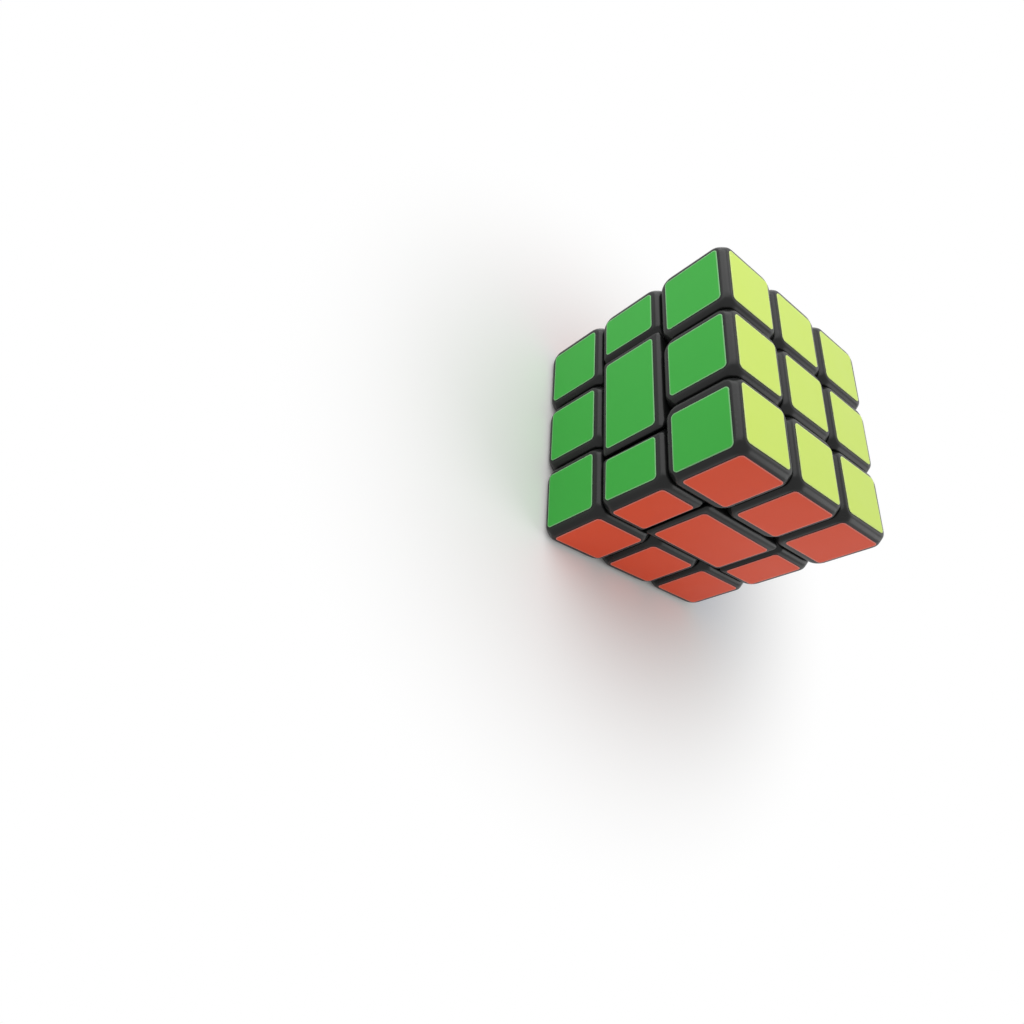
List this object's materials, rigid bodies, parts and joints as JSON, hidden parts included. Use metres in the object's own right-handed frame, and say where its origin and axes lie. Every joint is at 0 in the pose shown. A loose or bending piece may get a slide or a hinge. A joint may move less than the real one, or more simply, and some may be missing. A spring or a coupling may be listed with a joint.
{
  "type": "twisty puzzle cube",
  "caption": "Stickered twisty puzzle cube with two turning outer layers and a middle slice set at 45 degrees, on a spring-loaded six-arm core.",
  "frame": {"origin": "middle of the cube, where the core's six axes meet", "axes": "+Z out of the yellow face, -Y out of the green face, +X out of the orange face"},
  "size_m": [0.0574, 0.0574, 0.0574],
  "materials": {
    "black_plastic": "satin moulded ABS, black",
    "foot_plastic": "matt moulded ABS, black",
    "core_nylon": "matt moulded nylon, grey",
    "zinc_steel": "zinc-plated steel",
    "spring_steel": "bright spring wire",
    "vinyl_green": "smooth green vinyl sticker",
    "vinyl_orange": "smooth orange vinyl sticker",
    "vinyl_blue": "smooth blue vinyl sticker",
    "vinyl_red": "smooth red vinyl sticker",
    "vinyl_yellow": "smooth yellow vinyl sticker",
    "vinyl_white": "smooth white vinyl sticker"
  },
  "bodies": {
    "middle_slice": {"core": "core_nylon", "tension_screws": "zinc_steel", "tension_springs": "spring_steel", "spring_washers": "zinc_steel", "post_green_orange": "black_plastic", "post_orange_blue": "black_plastic", "post_blue_red": "black_plastic", "post_red_green": "black_plastic", "post_cap_green_orange": "black_plastic", "post_cap_orange_blue": "black_plastic", "post_cap_blue_red": "black_plastic", "post_cap_red_green": "black_plastic", "wide_side_green": "black_plastic", "wide_side_orange": "black_plastic", "wide_side_blue": "black_plastic", "wide_side_red": "black_plastic", "wide_side_feet": "foot_plastic", "stickers_middle_green": "vinyl_green", "stickers_middle_orange": "vinyl_orange", "stickers_middle_blue": "vinyl_blue", "stickers_middle_red": "vinyl_red"},
    "yellow_layer": {"corner_yellow_green_orange": "black_plastic", "corner_yellow_orange_blue": "black_plastic", "corner_yellow_blue_red": "black_plastic", "corner_yellow_red_green": "black_plastic", "corner_feet_yellow": "foot_plastic", "edge_yellow_green": "black_plastic", "edge_yellow_orange": "black_plastic", "edge_yellow_blue": "black_plastic", "edge_yellow_red": "black_plastic", "edge_feet_yellow": "foot_plastic", "centre_yellow": "black_plastic", "centre_cap_yellow": "black_plastic", "stickers_yellow": "vinyl_yellow", "stickers_upper_green": "vinyl_green", "stickers_upper_orange": "vinyl_orange", "stickers_upper_blue": "vinyl_blue", "stickers_upper_red": "vinyl_red"},
    "white_layer": {"corner_white_green_orange": "black_plastic", "corner_white_orange_blue": "black_plastic", "corner_white_blue_red": "black_plastic", "corner_white_red_green": "black_plastic", "corner_feet_white": "foot_plastic", "edge_white_green": "black_plastic", "edge_white_orange": "black_plastic", "edge_white_blue": "black_plastic", "edge_white_red": "black_plastic", "edge_feet_white": "foot_plastic", "centre_white": "black_plastic", "centre_cap_white": "black_plastic", "stickers_white": "vinyl_white", "stickers_lower_green": "vinyl_green", "stickers_lower_orange": "vinyl_orange", "stickers_lower_blue": "vinyl_blue", "stickers_lower_red": "vinyl_red"}
  },
  "joints": [
    {"name": "yellow_layer_turn", "type": "hinge", "parent": "middle_slice", "child": "yellow_layer", "pos_m": [0, 0, 0.019], "axis": [0, 0, 1], "continuous": true},
    {"name": "white_layer_turn", "type": "hinge", "parent": "middle_slice", "child": "white_layer", "pos_m": [0, 0, -0.019], "axis": [0, 0, -1], "continuous": true}
  ]
}
